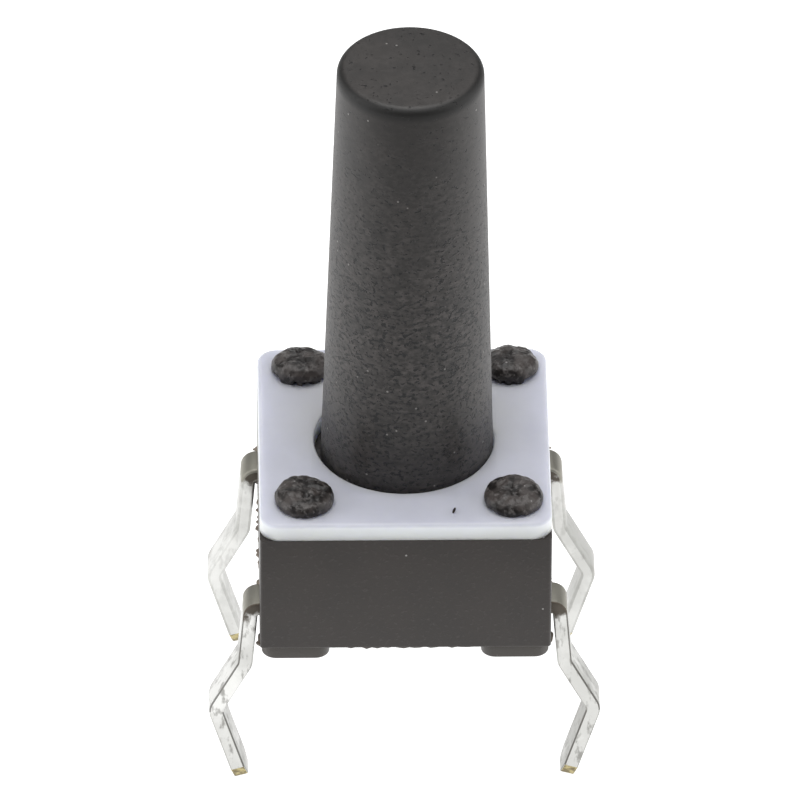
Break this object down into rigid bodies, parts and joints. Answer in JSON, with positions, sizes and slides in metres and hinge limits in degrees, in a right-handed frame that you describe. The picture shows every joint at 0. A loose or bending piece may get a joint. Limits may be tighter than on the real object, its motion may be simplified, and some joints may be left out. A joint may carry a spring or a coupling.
{
  "type": "tactile push button switch",
  "caption": "Square through-hole momentary switch: dark base, pale riveted cover, tall round tapered push button and bent snap-in pins.",
  "frame": {"origin": "centre of the square body on the face of the circuit board, which is the plane of the four feet's undersides", "axes": "+Z away from the board along the button, +X towards the side where one pin of each contact frame comes out, +Y towards the rear pair of pins"},
  "size_m": [0.008, 0.006, 0.0165],
  "materials": {
    "base": "black-brown moulded plastic, smooth, with a faint satin shine",
    "cover": "natural bluish white nylon, slightly translucent, satin",
    "button": "matte black moulded plastic with a fine grain and pale dust",
    "dome": "silver-plated phosphor bronze, bright",
    "plating": "silver-plated brass with grey stains, bare brass at the cut ends of the pins"
  },
  "bodies": {
    "switch_body": {"base": "base", "cover": "cover", "snap_dome": "dome", "rim_contact_frame": "plating", "centre_contact_frame": "plating"},
    "push_button": {"button": "button"}
  },
  "joints": [
    {"name": "button_press", "type": "slide", "parent": "switch_body", "child": "push_button", "axis": [0, 0, -1], "range_m": [0, 0.00025], "stiffness_N_per_m": 6300, "deforming": ["snap_dome"]}
  ]
}
